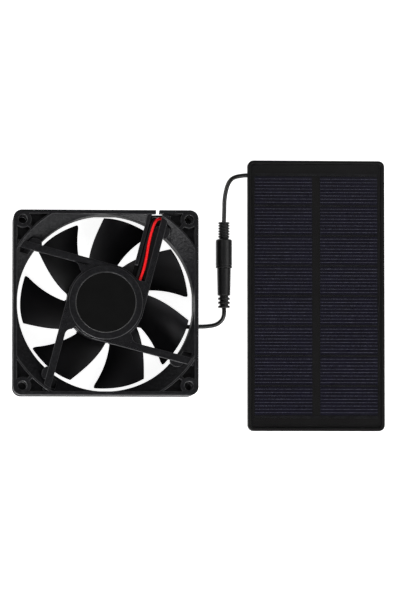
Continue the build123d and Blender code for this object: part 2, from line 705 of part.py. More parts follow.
with BuildPart() as panel_tray:
    with BuildSketch(FACE):
        RectangleRounded(PANEL_W, PANEL_H, PANEL_CORNER)
    extrude(amount=PANEL_T)
    chamfer(panel_tray.faces().sort_by(Axis.Z)[-1].edges(), 0.4)
    chamfer(panel_tray.faces().sort_by(Axis.Z)[0].edges(), 0.6)
    with BuildSketch(FACE.offset(BACK_BOARD_Z[0])):
        RectangleRounded(PANEL_W - 2 * PANEL_RIM, PANEL_H - 2 * PANEL_RIM, PANEL_CORNER - PANEL_RIM)
    extrude(amount=PANEL_T, mode=Mode.SUBTRACT)
    with BuildSketch(FACE.offset(PANEL_FLOOR)):
        Rectangle(PANEL_W - 2 * (PANEL_RIM + PANEL_LEDGE), PANEL_H - 2 * (PANEL_RIM + PANEL_LEDGE))
        with GridLocations(0, 30, 1, 4):
            Rectangle(PANEL_W, 1.2, mode=Mode.SUBTRACT)
    extrude(amount=PANEL_T, mode=Mode.SUBTRACT)
    with BuildSketch(across_entry(PANEL_LEFT - 1)):
        Circle(CABLE_R + 0.1)
    extrude(amount=6, mode=Mode.SUBTRACT)
save(panel_tray, "panel_tray")

with BuildPart() as backing_board:
    with BuildSketch(FACE.offset(BACK_BOARD_Z[0] + GAP)):
        RectangleRounded(BOARD_W, BOARD_H, 1.0)
    extrude(amount=BACK_BOARD_Z[1] - BACK_BOARD_Z[0] - GAP)
save(backing_board, "backing_board")


def cell_column(side):
    """Eight narrow cells one above the other."""
    with BuildPart() as made:
        with BuildSketch(FACE.offset(CELL_Z[0])):
            with Locations((side * (CELL_W + CELL_GAP) / 2, 0)):
                with GridLocations(0, ROW_PITCH, 1, ROWS):
                    Rectangle(CELL_W, CELL_H)
        extrude(amount=CELL_Z[1] - CELL_Z[0])
    return made


save(cell_column(-1), "left_solar_cells")
save(cell_column(1), "right_solar_cells")

with BuildPart() as cell_ribbons:
    with BuildSketch(FACE.offset(CELL_Z[0])):
        with GridLocations(CELL_W + CELL_GAP, ROW_PITCH, 2, ROWS - 1):
            Rectangle(CELL_W, ROW_PITCH - CELL_H - 0.1)
        for end in (-1, 1):
            with Locations((0, end * (ROWS * ROW_PITCH / 2 + 0.6))):
                Rectangle(2 * CELL_W + CELL_GAP, 1.2)
    extrude(amount=CELL_Z[1] - CELL_Z[0])
save(cell_ribbons, "cell_ribbons")

with BuildPart() as encapsulant:
    with BuildSketch(FACE.offset(CELL_Z[1] + GAP)):
        RectangleRounded(BOARD_W, BOARD_H, 1.0)
    extrude(amount=SHEET_Z[0] - CELL_Z[1] - 2 * GAP)
save(encapsulant, "encapsulant")

with BuildPart() as front_sheet:
    with BuildSketch(FACE.offset(SHEET_Z[0])):
        RectangleRounded(BOARD_W + 0.2, BOARD_H + 0.2, 1.1)
    extrude(amount=SHEET_Z[1] - SHEET_Z[0])
save(front_sheet, "front_sheet")

# wiring behind the board: a blocking diode, two soldered leads and a blob of glue that holds the cable
PAD_X = ANCHOR_X + 16
PAD_Y = {"red": CABLE_IN_Y + 1.6, "black": CABLE_IN_Y - 1.6}
ANCHOR_LONG = 6.0
PAD_R = 1.15
JOINT_HIGH = 1.7
DIODE = (4.3, 2.6, 1.6)

with BuildPart() as cable_anchor:
    with BuildSketch(across_entry(ANCHOR_X + GAP)):
        RectangleRounded(5.6, 2.4, 0.9)
    extrude(amount=ANCHOR_LONG)
save(cable_anchor, "cable_anchor")

for colour, pad_y in PAD_Y.items():
    side = math.copysign(0.7, pad_y - CABLE_IN_Y)
    start = (ANCHOR_X + ANCHOR_LONG + 2 * GAP, CABLE_IN_Y + side, CABLE_IN_Z)
    middle = (ANCHOR_X + 11, CABLE_IN_Y + 1.4 * side, CABLE_IN_Z - 0.2)
    finish = (PAD_X - 1.2, pad_y, CABLE_IN_Z + 0.1)
    save(tube([start, middle, finish], 0.5, f"panel_{colour}_lead"), f"panel_{colour}_lead")

with BuildPart() as solder_joints:
    with BuildSketch(FACE.offset(BACK_BOARD_Z[0])):
        for pad_y in PAD_Y.values():
            with Locations((PAD_X - PANEL_X, pad_y - PANEL_Y)):
                Circle(PAD_R)
    extrude(amount=-JOINT_HIGH, taper=20)
save(solder_joints, "solder_joints")

with BuildPart() as blocking_diode:
    with BuildSketch(FACE.offset(BACK_BOARD_Z[0])):
        with Locations((PAD_X + 6 - PANEL_X, CABLE_IN_Y + 1.6 - PANEL_Y)):
            Rectangle(*DIODE[:2])
    extrude(amount=-DIODE[2])
save(blocking_diode, "blocking_diode")
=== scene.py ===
import math

import bmesh
import bpy
from mathutils import Matrix, Vector


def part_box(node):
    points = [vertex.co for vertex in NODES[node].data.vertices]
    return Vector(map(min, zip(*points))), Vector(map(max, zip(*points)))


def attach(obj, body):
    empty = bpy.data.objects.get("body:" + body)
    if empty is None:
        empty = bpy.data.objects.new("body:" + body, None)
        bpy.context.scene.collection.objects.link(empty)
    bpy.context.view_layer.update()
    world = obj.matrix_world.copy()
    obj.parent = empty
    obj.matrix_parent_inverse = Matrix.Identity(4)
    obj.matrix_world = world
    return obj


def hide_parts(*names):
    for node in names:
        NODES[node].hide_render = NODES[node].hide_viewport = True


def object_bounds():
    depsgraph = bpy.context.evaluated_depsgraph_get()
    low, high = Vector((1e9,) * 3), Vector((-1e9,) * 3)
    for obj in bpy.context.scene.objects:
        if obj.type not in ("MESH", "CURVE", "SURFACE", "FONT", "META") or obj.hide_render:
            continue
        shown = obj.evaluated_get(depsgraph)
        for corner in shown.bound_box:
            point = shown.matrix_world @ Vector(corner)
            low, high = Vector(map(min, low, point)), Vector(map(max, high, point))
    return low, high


# Solar attic fan: detailed pieces, materials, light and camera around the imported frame.
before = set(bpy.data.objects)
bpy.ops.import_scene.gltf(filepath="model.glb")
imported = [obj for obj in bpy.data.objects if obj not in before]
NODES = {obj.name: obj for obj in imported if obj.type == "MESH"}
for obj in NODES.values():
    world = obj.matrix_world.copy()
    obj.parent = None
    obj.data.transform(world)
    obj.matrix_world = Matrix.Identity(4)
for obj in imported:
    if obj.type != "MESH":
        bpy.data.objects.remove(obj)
cad_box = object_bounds()
SCENE = bpy.context.scene
MM = 0.001

FACE_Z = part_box("fan_frame")[1].z


# ------------------------------------------------------------------ camera
IMAGE_LONG_SIDE = 600
SENSOR = 36.0
CLIP = (0.05, 20)
EYE_HEIGHT = 2000 * MM
EYE_OFFSET = Vector((-89.2 * MM, -116.4 * MM, 0))
AIM_OFFSET = Vector((46.65 * MM, 1.34 * MM, 0))
METRES_PER_PIXEL = 0.4962 * MM

face_centre = Vector((0, 0, FACE_Z))
eye = face_centre + EYE_OFFSET + Vector((0, 0, EYE_HEIGHT))
aim = face_centre + AIM_OFFSET
camera = bpy.data.objects.new("camera", bpy.data.cameras.new("camera"))
SCENE.collection.objects.link(camera)
camera.location = eye
look = aim - eye
camera.rotation_mode = "QUATERNION"
camera.data.sensor_width = SENSOR
camera.data.lens = SENSOR * look.length / METRES_PER_PIXEL / IMAGE_LONG_SIDE
camera.data.clip_start, camera.data.clip_end = CLIP
back = -look.normalized()
right = Vector((0, 1, 0)).cross(back).normalized()
up = back.cross(right)
camera.rotation_quaternion = Matrix((right, up, back)).transposed().to_quaternion()
SCENE.camera = camera


# ------------------------------------------------------------------ material nodes
def srgb(level):
    """A linear value from an 8-bit display level."""
    level = level / 255
    return level / 12.92 if level <= 0.04045 else ((level + 0.055) / 1.055) ** 2.4


def rgb(red, green=None, blue=None):
    green = red if green is None else green
    blue = red if blue is None else blue
    return (srgb(red), srgb(green), srgb(blue), 1.0)


def new_material(name, **shader_values):
    made = bpy.data.materials.new(name)
    made.use_nodes = True
    shader = made.node_tree.nodes["Principled BSDF"]
    for key, value in shader_values.items():
        shader.inputs[key.replace("_", " ")].default_value = value
    return made, made.node_tree, shader


def add_node(tree, kind, settings=(), **values):
    made = tree.nodes.new(kind)
    for key, value in dict(settings).items():
        setattr(made, key, value)
    for key, value in values.items():
        made.inputs[key.replace("_", " ")].default_value = value
    return made


def object_space(tree):
    return add_node(tree, "ShaderNodeTexCoord").outputs["Object"]


def noise(tree, size, detail=3.0, roughness=0.55, distortion=0.0, source=None):
    """Noise whose blotches are about `size` metres across."""
    made = add_node(tree, "ShaderNodeTexNoise", Scale=1 / size, Detail=detail,
                    Roughness=roughness, Distortion=distortion)
    tree.links.new(source or object_space(tree), made.inputs["Vector"])
    return made.outputs["Fac"]


def spread(tree, source, low, high, out_low, out_high):
    """Maps one range of a factor to another, clamped."""
    made = add_node(tree, "ShaderNodeMapRange")
    made.inputs["From Min"].default_value = low
    made.inputs["From Max"].default_value = high
    made.inputs["To Min"].default_value = out_low
    made.inputs["To Max"].default_value = out_high
    tree.links.new(source, made.inputs["Value"])
    return made.outputs["Result"]


def blend_colour(tree, factor, first, second):
    """Mixes two colours, each a 4-tuple or another node's output."""
    made = add_node(tree, "ShaderNodeMix", {"data_type": "RGBA"})
    tree.links.new(factor, made.inputs[0])
    for socket, value in ((made.inputs[6], first), (made.inputs[7], second)):
        if isinstance(value, tuple):
            socket.default_value = value
        else:
            tree.links.new(value, socket)
    return made.outputs[2]


def maths(tree, operation, first, second):
    made = add_node(tree, "ShaderNodeMath", {"operation": operation})
    for socket, value in ((made.inputs[0], first), (made.inputs[1], second)):
        if isinstance(value, (int, float)):
            socket.default_value = value
        else:
            tree.links.new(value, socket)
    return made.outputs[0]


def bump(tree, height, depth, strength=1.0, under=None):
    """A bump of `depth` metres; `under` is the normal it is added to."""
    made = add_node(tree, "ShaderNodeBump", Strength=strength, Distance=depth)
    tree.links.new(height, made.inputs["Height"])
    if under is not None:
        tree.links.new(under, made.inputs["Normal"])
    return made.outputs["Normal"]


def worn_and_highlit_edges(tree, low=0.52, high=0.62):
    """Rises from 0 to 1 on convex edges, for rubbed wear together with a painted edge highlight."""
    pointiness = add_node(tree, "ShaderNodeNewGeometry").outputs["Pointiness"]
    return spread(tree, pointiness, low, high, 0.0, 1.0)


GLOSS_PATCH = 0.31


def surface(name, colour, other, rough, grain=0.35, depth=0.02, patch=9.0, wear_and_highlight=None,
            speckle=0.0, waviness=0.0, **shader_values):
    """A moulded or cast finish: blotchy colour, speckle, uneven gloss, fine grain and lighter edges, the last
    both rubbed wear and painted edge highlight.

    grain, depth, patch and waviness are in millimetres; the edge colour tints convex edges as rubbed wear and
    painted highlight together.
    """
    made, tree, shader = new_material(name, **shader_values)
    space = object_space(tree)
    blotches = noise(tree, patch * MM, detail=4.0, roughness=0.6, distortion=0.4, source=space)
    fine = noise(tree, grain * MM, detail=2.0, roughness=0.7, source=space)
    shade = spread(tree, blotches, 0.35, 0.65, 0.0, 1.0)
    if speckle:
        dots = spread(tree, fine, 0.42, 0.66, -speckle, speckle)
        shade = maths(tree, "ADD", shade, dots)
    tint = blend_colour(tree, shade, colour, other)
    if wear_and_highlight is not None:
        # lighter convex edges: part rubbed wear, part painted edge highlight
        rubbed_and_lit = maths(tree, "MULTIPLY", worn_and_highlit_edges(tree), spread(tree, blotches, 0.3, 0.6, 0.35, 1.0))
        tint = blend_colour(tree, rubbed_and_lit, tint, wear_and_highlight)
    tree.links.new(tint, shader.inputs["Base Color"])
    gloss = noise(tree, patch * GLOSS_PATCH * MM, detail=5.0, roughness=0.65, source=space)
    tree.links.new(spread(tree, gloss, 0.3, 0.7, *rough), shader.inputs["Roughness"])
    normal = bump(tree, fine, depth * MM)
    if waviness:
        normal = bump(tree, blotches, waviness * MM, under=normal)
    tree.links.new(normal, shader.inputs["Normal"])
    return made


# ------------------------------------------------------------------ pieces
def place(mesh, name, body, material, replaced=(), sharp=32):
    """Puts a finished mesh in the scene, on its body, in its slot, in place of its CAD nodes."""
    made = bpy.data.objects.new(name, mesh)
    SCENE.collection.objects.link(made)
    mesh.materials.clear()
    mesh.materials.append(material)
    mesh.shade_smooth()
    mesh.set_sharp_from_angle(angle=math.radians(sharp))
    settle(made, body, replaced)
    return made


def settle(made, body, replaced):
    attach(made, body)
    if replaced:
        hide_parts(*replaced)


def mesh_from(shape, name):
    bmesh.ops.recalc_face_normals(shape, faces=shape.faces)
    mesh = bpy.data.meshes.new(name)
    shape.to_mesh(mesh)
    shape.free()
    return mesh


SAME_SPOT = 1e-6
FLAT_ANGLE = math.radians(0.3)


def clean_solid(node):
    """The node's solid with its seams welded and the triangles of its flat faces evened out."""
    shape = bmesh.new()
    shape.from_mesh(NODES[node].data)
    bmesh.ops.remove_doubles(shape, verts=shape.verts, dist=SAME_SPOT)
    bmesh.ops.triangulate(shape, faces=shape.faces)
    flat = [edge for edge in shape.edges if edge.calc_face_angle(0) < FLAT_ANGLE]
    bmesh.ops.beautify_fill(shape, faces=shape.faces, edges=flat, method="ANGLE")
    return shape


EDGE_ANGLE = math.radians(34)
FLAT_WEIGHT = 80


def soften(obj, width, segments=2, edge_highlight_finish=None):
    """Rounds an object's sharp edges by `width` millimetres and keeps its flat faces flat in shading; an edge
    finish, when given, goes on the rounded faces as a painted edge highlight.
    """
    made = obj.modifiers.new("soft_edges", "BEVEL")
    made.width = width * MM
    made.segments = segments
    made.limit_method = "ANGLE"
    made.angle_limit = EDGE_ANGLE
    made.use_clamp_overlap = False
    made.miter_outer = "MITER_ARC"
    if edge_highlight_finish is not None:
        obj.data.materials.append(edge_highlight_finish)
        made.material = 1
    weighted = obj.modifiers.new("face_normals", "WEIGHTED_NORMAL")
    weighted.mode = "FACE_AREA_WITH_ANGLE"
    weighted.weight = FLAT_WEIGHT
    weighted.keep_sharp = False


# the region inside the duct that gets painted shade
DUCT_R = 44.2
DUCT_TOP = 23.6


def shade_inside_duct(obj, finish):
    """Gives the faces inside the duct, below the struts' outer faces, a darker, duller finish: painted shade
    for the deep channel and duct wall.
    """
    obj.data.materials.append(finish)
    shade_slot = len(obj.data.materials) - 1
    for face in obj.data.polygons:
        spots = [obj.data.vertices[index].co for index in face.vertices]
        if all(spot.z < DUCT_TOP * MM and spot.xy.length < DUCT_R * MM for spot in spots):
            face.material_index = shade_slot


def lathe(name, profile, axis_point, axis, around=96):
    """Turns a closed profile of (radius, along) pairs about an axis. Millimetres."""
    forward = Vector(axis).normalized()
    side = forward.orthogonal().normalized()
    other = forward.cross(side)
    shape = bmesh.new()
    rings = []
    for step in range(around):
        turn = 2 * math.pi * step / around
        out = side * math.cos(turn) + other * math.sin(turn)
        rings.append([None if radius == 0 and step else
                      shape.verts.new(Vector(axis_point) + (out * radius + forward * along) * MM)
                      for radius, along in profile])
    for ring in rings[1:]:
        for index, spot in enumerate(ring):
            if spot is None:
                ring[index] = rings[0][index]
    for step in range(around):
        here, there = rings[step], rings[(step + 1) % around]
        for index in range(len(profile)):
            after = (index + 1) % len(profile)
            corners = [here[index], there[index], there[after], here[after]]
            corners = [spot for place_in, spot in enumerate(corners) if spot not in corners[:place_in]]
            if len(corners) > 2:
                shape.faces.new(corners)
    return mesh_from(shape, name)


def rounded(points, radius, steps=4):
    """A closed (radius, along) profile with its corners rounded; a corner may bring its own radius."""
    made = []
    count = len(points)
    for index, point in enumerate(points):
        corner = Vector(point[:2])
        soft = point[2] if len(point) > 2 else radius
        before = Vector(points[index - 1][:2]) - corner
        after = Vector(points[(index + 1) % count][:2]) - corner
        reach = min(soft, before.length * 0.49, after.length * 0.49)
        if reach < 1e-4 or corner.x == 0:
            made.append(tuple(corner))
            continue
        start, end = corner + before.normalized() * reach, corner + after.normalized() * reach
        for step in range(steps + 1):
            part = step / steps
            made.append(tuple((1 - part) ** 2 * start + 2 * part * (1 - part) * corner + part ** 2 * end))
    return made


ROUTE_STEPS = 16
ROUND_STEPS = 8


def lead(name, points, radius, body, material, node):
    """A round lead along one smooth curve."""
    curve = bpy.data.curves.new(name, "CURVE")
    curve.dimensions = "3D"
    spline = curve.splines.new("NURBS")
    spline.points.add(len(points) - 1)
    for spot, point in zip(spline.points, points):
        spot.co = (point[0] * MM, point[1] * MM, point[2] * MM, 1)
    spline.order_u = 3
    spline.use_endpoint_u = True
    spline.resolution_u = ROUTE_STEPS
    curve.bevel_depth = radius * MM
    curve.bevel_resolution = ROUND_STEPS
    curve.use_fill_caps = True
    made = bpy.data.objects.new(name, curve)
    SCENE.collection.objects.link(made)
    curve.materials.append(material)
    settle(made, body, (node,))
    return made


# ------------------------------------------------------------------ materials
# the edge colours given below for the rotor, connector, tray and bobbin stand for rubbed wear and painted
# edge highlight together
frame_plastic = surface("frame_plastic", rgb(9, 9, 12), rgb(20, 20, 23), (0.4, 0.54), grain=1.5,
                        depth=0.3, patch=14, speckle=1.2, waviness=0.02, Specular_IOR_Level=0.22)
# a darker, less glossy copy of the frame plastic for the faces deep in the duct and channel: painted shade
duct_painted_shade = surface("duct_painted_shade", rgb(7), rgb(10), (0.45, 0.6), grain=0.85, depth=0.05, patch=14,
                       speckle=0.5, Specular_IOR_Level=0.08)
# a lighter, glossier finish for the frame's rounded edge faces: painted edge highlight
frame_edge_highlight = surface("frame_plastic_edge_highlight", rgb(34, 34, 36), rgb(50, 50, 52), (0.3, 0.42), grain=0.85,
                      depth=0.03, patch=5, speckle=0.5, Specular_IOR_Level=0.45)
rotor_plastic = surface("rotor_plastic", rgb(10, 9, 12), rgb(14, 13, 17), (0.4, 0.52), grain=0.5,
                        depth=0.008, patch=18, wear_and_highlight=rgb(24, 23, 27), waviness=0.03, Specular_IOR_Level=0.16)
cable_jacket = surface("cable_jacket", rgb(12), rgb(16), (0.16, 0.24), grain=0.6, depth=0.003, patch=5,
                       waviness=0.01, Specular_IOR_Level=0.45, Coat_Weight=0.1, Coat_IOR=1.5,
                       Coat_Roughness=0.08)
red_insulation = surface("red_insulation", rgb(250, 6, 14), rgb(255, 14, 22), (0.3, 0.42), grain=0.5,
                         depth=0.005, patch=4, waviness=0.01, Specular_IOR_Level=0.35)
black_insulation = surface("black_insulation", rgb(10), rgb(15), (0.34, 0.46), grain=0.5, depth=0.005,
                           patch=4, waviness=0.01, Specular_IOR_Level=0.22)
connector_plastic = surface("connector_plastic", rgb(17, 17, 18), rgb(23, 23, 24), (0.34, 0.48), grain=0.4,
                            depth=0.015, patch=5, wear_and_highlight=rgb(46), speckle=0.2, Specular_IOR_Level=0.4)
heat_shrink = surface("heat_shrink", rgb(18), rgb(25), (0.3, 0.45), grain=0.4, depth=0.01, patch=3)
label_film = surface("label_film", rgb(8), rgb(11), (0.4, 0.5), grain=0.4, depth=0.008, patch=12,
                     waviness=0.01, Specular_IOR_Level=0.12)
# a light grey ring for the label's rounded edge: painted edge highlight
label_edge_highlight = surface("label_edge_highlight", rgb(96), rgb(120), (0.4, 0.5), grain=0.3, depth=0.004, patch=5)
tray_plastic = surface("tray_plastic", rgb(13, 13, 13), rgb(17, 17, 17), (0.4, 0.55), grain=0.7, depth=0.02,
                       patch=22, wear_and_highlight=rgb(26), speckle=0.4, Specular_IOR_Level=0.16)
board_laminate = surface("board_laminate", rgb(20, 19, 20), rgb(25, 24, 26), (0.5, 0.6), grain=0.7,
                         depth=0.006, patch=25, speckle=0.3, Specular_IOR_Level=0.2)
finger_silver = surface("finger_silver", rgb(84, 84, 106), rgb(118, 118, 140), (0.4, 0.55), grain=0.9,
                        depth=0.006, patch=5, speckle=0.8, Specular_IOR_Level=0.3)
ribbon_tin = surface("ribbon_tin", rgb(40, 40, 44), rgb(60, 60, 64), (0.3, 0.5), grain=0.2, depth=0.01,
                     patch=4, Metallic=0.8)
cell_silicon = surface("cell_silicon", rgb(15, 13, 34), rgb(22, 19, 46), (0.25, 0.4), grain=0.7, depth=0.002,
                       patch=7, speckle=0.4, Specular_IOR_Level=0.2)
tube_brass = surface("tube_brass", rgb(196, 160, 92), rgb(214, 180, 110), (0.22, 0.36), grain=0.15,
                     depth=0.003, patch=3, Metallic=1.0)
sintered_bronze = surface("sintered_bronze", rgb(150, 112, 72), rgb(176, 136, 90), (0.4, 0.6), grain=0.12,
                          depth=0.01, patch=2, speckle=0.4, Metallic=1.0)
seal_rubber = surface("seal_rubber", rgb(24), rgb(32), (0.6, 0.75), grain=0.2, depth=0.008, patch=2)
washer_nylon = surface("washer_nylon", rgb(214, 210, 198), rgb(226, 222, 212), (0.4, 0.55), grain=0.3,
                       depth=0.006, patch=2)
clip_plastic = surface("clip_plastic", rgb(206, 204, 196), rgb(220, 218, 210), (0.4, 0.55), grain=0.2,
                       depth=0.006, patch=2)
bobbin_plastic = surface("bobbin_plastic", rgb(196, 192, 176), rgb(212, 208, 194), (0.42, 0.56), grain=0.3,
                         depth=0.01, patch=5, wear_and_highlight=rgb(232, 230, 220))
pin_tin = surface("pin_tin", rgb(190), rgb(214), (0.25, 0.4), grain=0.1, depth=0.004, patch=1, Metallic=1.0)
motor_board = surface("motor_board", rgb(30, 74, 44), rgb(38, 88, 54), (0.3, 0.45), grain=0.5, depth=0.008,
                      patch=4, speckle=0.15)
chip_epoxy = surface("chip_epoxy", rgb(22), rgb(30), (0.5, 0.65), grain=0.08, depth=0.004, patch=2,
                     speckle=0.3)
diode_epoxy = surface("diode_epoxy", rgb(20), rgb(27), (0.45, 0.6), grain=0.1, depth=0.004, patch=2)
capacitor_can = surface("capacitor_can", rgb(176), rgb(196), (0.25, 0.4), grain=0.2, depth=0.004, patch=2,
                        Metallic=1.0)
yoke_steel = surface("yoke_steel", rgb(120, 122, 126), rgb(146, 148, 152), (0.3, 0.48), grain=0.3,
                     depth=0.008, patch=6, speckle=0.2, Metallic=1.0)
magnet_ferrite = surface("magnet_ferrite", rgb(40, 38, 38), rgb(52, 50, 49), (0.55, 0.7), grain=0.2,
                         depth=0.012, patch=4, speckle=0.4)
shaft_steel = surface("shaft_steel", rgb(186, 188, 190), rgb(204, 206, 208), (0.14, 0.26), grain=0.1,
                      depth=0.002, patch=2, Metallic=1.0)
contact_nickel = surface("contact_nickel", rgb(184, 180, 168), rgb(204, 200, 188), (0.16, 0.3), grain=0.2,
                         depth=0.003, patch=2, Metallic=1.0)
contact_insulator = surface("contact_insulator", rgb(20), rgb(26), (0.4, 0.5), grain=0.2, depth=0.004,
                            patch=2)
solder = surface("solder", rgb(170, 172, 176), rgb(196, 198, 202), (0.2, 0.4), grain=0.3, depth=0.02, patch=1,
                 Metallic=1.0)
hot_glue = surface("hot_glue", rgb(206, 198, 174), rgb(222, 214, 192), (0.2, 0.35), grain=0.8, depth=0.03,
                   patch=3, waviness=0.1)
clear_encapsulant = surface("clear_encapsulant", rgb(30, 30, 34), rgb(36, 36, 40), (0.3, 0.4), grain=0.6,
                            depth=0.004, patch=20, Alpha=0.04)
clear_sheet = surface("clear_sheet", rgb(22, 22, 22), rgb(27, 27, 27), (0.24, 0.34), grain=0.5, depth=0.003,
                      patch=26, waviness=0.02, Specular_IOR_Level=0.3, Alpha=0.22)


def banded(name, colour, other, direction, pitch, depth, rough, metallic):
    """A finish with fine parallel lines, such as windings or stacked sheets. Pitch and depth in mm."""
    made = surface(name, colour, other, rough, grain=0.3, depth=0.004, patch=3, Metallic=metallic)
    tree = made.node_tree
    shader = tree.nodes["Principled BSDF"]
    wave = add_node(tree, "ShaderNodeTexWave", {"wave_type": "BANDS", "bands_direction": direction},
                    Scale=2 * math.pi / (20 * pitch * MM), Distortion=0.3, Detail=1.0)
    tree.links.new(object_space(tree), wave.inputs["Vector"])
    under = shader.inputs["Normal"].links[0].from_socket
    tree.links.new(bump(tree, wave.outputs["Fac"], depth * MM, under=under), shader.inputs["Normal"])
    shade = spread(tree, wave.outputs["Fac"], 0.0, 0.5, 0.0, 1.0)
    dark = tuple(value * 0.35 for value in colour[:3]) + (1.0,)
    tint = shader.inputs["Base Color"].links[0].from_socket
    tree.links.new(blend_colour(tree, shade, dark, tint), shader.inputs["Base Color"])
    return made


core_steel = banded("core_steel", rgb(120), rgb(150), "Z", 0.5, 0.03, (0.4, 0.55), 1.0)
coil_copper = banded("coil_copper", rgb(188, 92, 48), rgb(212, 112, 62), "DIAGONAL", 0.22, 0.05,
                     (0.2, 0.32), 1.0)


# ------------------------------------------------------------------ cords
# The channel strut's direction; routes give distances out along it and across it, in millimetres.
STRUT_TURN = math.radians(75.2)
WIRE_R = 0.72
CABLE_R = 1.1
WIRE_Z = 22.97
FLOOR_AXIS = CABLE_R + 0.05


def along_strut(out, across, height):
    """A point out along the channel strut, across it and in height. Millimetres."""
    return (out * math.cos(STRUT_TURN) + across * math.sin(STRUT_TURN),
            out * math.sin(STRUT_TURN) - across * math.cos(STRUT_TURN), height)


red_route = [
    along_strut(9.5, 12.9, WIRE_Z), along_strut(19, 14.0, WIRE_Z), along_strut(27.5, 13.8, WIRE_Z),
    along_strut(34, 12.9, WIRE_Z), along_strut(43.3, 12.9, WIRE_Z), along_strut(47.2, 14.1, 22.3),
    along_strut(48.4, 17.6, 18.8), along_strut(48.4, 18.4, 12.6), along_strut(47.4, 18.3, 7.4),
    along_strut(43.9, 18.5, 2.9), along_strut(38.0, 16.0, 1.35), along_strut(32, 14.4, 1.35)]
black_route = [
    along_strut(9.5, 11.4, WIRE_Z), along_strut(20, 12.2, WIRE_Z), along_strut(32, 11.6, WIRE_Z),
    along_strut(43.4, 11.7, WIRE_Z), along_strut(47.0, 12.1, 21.2), along_strut(47.3, 14.8, 18.0),
    along_strut(46.6, 17.7, 12.6), along_strut(45.6, 17.9, 7.0), along_strut(42.0, 16.5, 2.6),
    along_strut(36.6, 13.5, 1.35), along_strut(32, 12.8, 1.35)]
fan_route = [
    along_strut(21, 13.6, 1.35), (16.8, 10.4, FLOOR_AXIS), (9.8, 1.4, FLOOR_AXIS),
    (10.2, -6.0, FLOOR_AXIS), (15.0, -10.2, FLOOR_AXIS), (26.0, -10.9, FLOOR_AXIS),
    (42.5, -10.8, FLOOR_AXIS), (54.4, -10.5, FLOOR_AXIS), (58.6, -8.5, 1.9), (60.5, -5.0, 3.3),
    (60.1, -1.4, 4.1)]
panel_route = [
    (75.6, 65.7, 2.9), (67.8, 65.6, 2.9), (62.6, 63.0, 3.0), (60.4, 54.4, 3.3), (60.3, 47.0, 3.9),
    (60.1, 41.7, 4.1)]

red_wire = lead("red_lead_wire", red_route, WIRE_R, "fan", red_insulation, "red_wire")
black_wire = lead("black_lead_wire", black_route, WIRE_R, "fan", black_insulation, "black_wire")
fan_cable = lead("fan_side_cable", fan_route, CABLE_R, "fan", cable_jacket, "fan_cable")
panel_cable = lead("panel_side_cable", panel_route, CABLE_R, "panel", cable_jacket, "panel_cable")


# ------------------------------------------------------------------ fan frame and label
FRAME_EDGE = 0.2
LABEL_EDGE = 0.11
frame_shell = place(mesh_from(clean_solid("fan_frame"), "moulded_frame"), "moulded_frame", "fan",
                    frame_plastic, ("fan_frame",))
# the frame's rounded edges get the lighter finish: painted edge highlight
soften(frame_shell, FRAME_EDGE, edge_highlight_finish=frame_edge_highlight)
# the deep duct and channel faces get the darker finish: painted shade
shade_inside_duct(frame_shell, duct_painted_shade)
label = place(mesh_from(clean_solid("motor_label"), "plain_label"), "plain_label", "fan", label_film,
              ("motor_label",))
# the label's rounded edge gets the light grey ring: painted edge highlight
soften(label, LABEL_EDGE, edge_highlight_finish=label_edge_highlight)


# ------------------------------------------------------------------ impeller
BLADES = 7
HUB_R = 19.3
HUB_WALL = 1.3
HUB_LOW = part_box("impeller")[0].z / MM
HUB_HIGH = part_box("impeller")[1].z / MM
BLADE_LOW = 3.9
BLADE_HIGH = 19.6
TIP_R = 42.2
TIP_CORNER = 1.9
BLADE_THICK = 1.3
BLADE_END = 0.3
BLADE_CAMBER = 2.2
ROOT_FILLET = 0.9
ROOT_SUNK = 0.4
ROOT_SPANS = [0.0, 0.02, 0.03, 0.04, 0.055, 0.075]
TIP_CHORD = 32.0
RADIUS_STEPS = 12
SPAN_STEPS = 26
CHORD_STEPS = 30
EDGE_STEPS = 4
HUB_STEPS = 160
IMPELLER_SHARP = 40


def trailing_turn(r):
    return math.radians(-0.9 - 1.13 * (r - 30) + 0.018 * (r - 30) ** 2)


def leading_turn(r):
    return math.radians(-37.6 - 0.73 * (r - 30))


def chord_point(r, part):
    """A point on the straight chord between the two edges at a radius, seen from above."""
    ends = [Vector((r * math.cos(turn), r * math.sin(turn))) for turn in (leading_turn(r), trailing_turn(r))]
    return ends[0].lerp(ends[1], part), ends[1] - ends[0]


def camber_point(radius, part):
    """The middle of the blade's thickness at a true radius, and the direction across it."""
    r = radius
    for _ in range(RADIUS_STEPS):
        r *= radius / chord_point(r, part)[0].length
    flat, chord = chord_point(r, part)
    rise = BLADE_HIGH - BLADE_LOW
    length = math.hypot(chord.length, rise)
    bow = BLADE_CAMBER * (1 - (2 * part - 1) ** 2)
    slope = 4 * BLADE_CAMBER * (2 * part - 1) / length
    along = Vector((chord.x, chord.y, 0)).normalized()
    across = Vector((-along.x * rise / length, -along.y * rise / length, chord.length / length))
    forward = Vector((chord.x / length, chord.y / length, rise / length))
    middle = Vector((flat.x, flat.y, BLADE_LOW + rise * part)) - across * bow
    normal = (across + forward * slope).normalized()
    return middle, normal, forward


def tip_radius(part, chord_length):
    """The blade's tip, with the leading corner rounded."""
    from_edge = part * chord_length
    if from_edge >= TIP_CORNER:
        return TIP_R
    return TIP_R - TIP_CORNER + math.sqrt(TIP_CORNER ** 2 - (TIP_CORNER - from_edge) ** 2)


def half_thickness(radius, part):
    full = BLADE_THICK * (1 - 0.012 * (radius - HUB_R)) / 2
    thick = BLADE_END + (full - BLADE_END) * (1 - (2 * part - 1) ** 2)
    near_hub = max(0.0, ROOT_FILLET - (radius - HUB_R))
    return thick + ROOT_FILLET - math.sqrt(max(ROOT_FILLET ** 2 - near_hub ** 2, 0.0))


